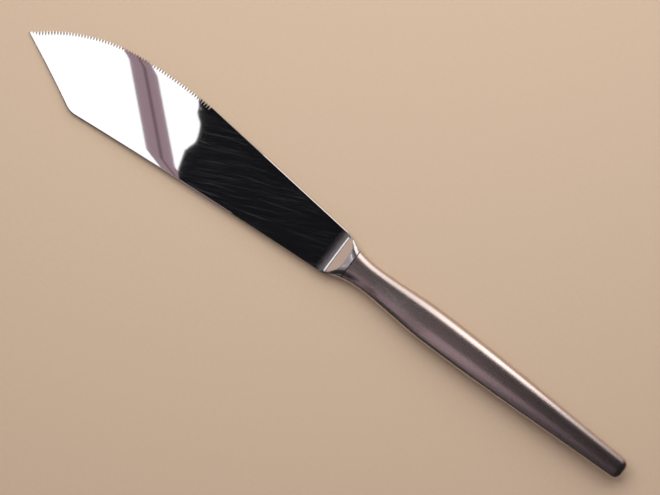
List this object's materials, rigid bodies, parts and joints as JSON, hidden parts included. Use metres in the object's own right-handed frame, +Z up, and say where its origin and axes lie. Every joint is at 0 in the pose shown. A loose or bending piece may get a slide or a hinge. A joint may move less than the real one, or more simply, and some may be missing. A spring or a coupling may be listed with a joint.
{
  "type": "cake knife",
  "caption": "Cake knife with a broad flat blade, fine teeth along its curved belly and a plain edge behind them, on a slim rounded hollow metal handle.",
  "frame": {"origin": "on the surface that the knife lies on, below the middle of its length, on the handle's axis", "axes": "+X from the tip to the butt, +Y towards the toothed edge, +Z up from the surface, with the front face of the blade up"},
  "size_m": [0.2707, 0.0332, 0.01],
  "materials": {
    "polished_steel": "mirror polished stainless steel with fine wear scratches",
    "satin_silver": "silver-plated metal, satin from use",
    "silver_solder": "dressed flush with the shells",
    "cement": "matt dark filling"
  },
  "bodies": {
    "root": {"blade": "polished_steel", "front_shell": "satin_silver", "back_shell": "satin_silver", "seam_solder": "silver_solder", "tang_cement": "cement"}
  },
  "joints": []
}
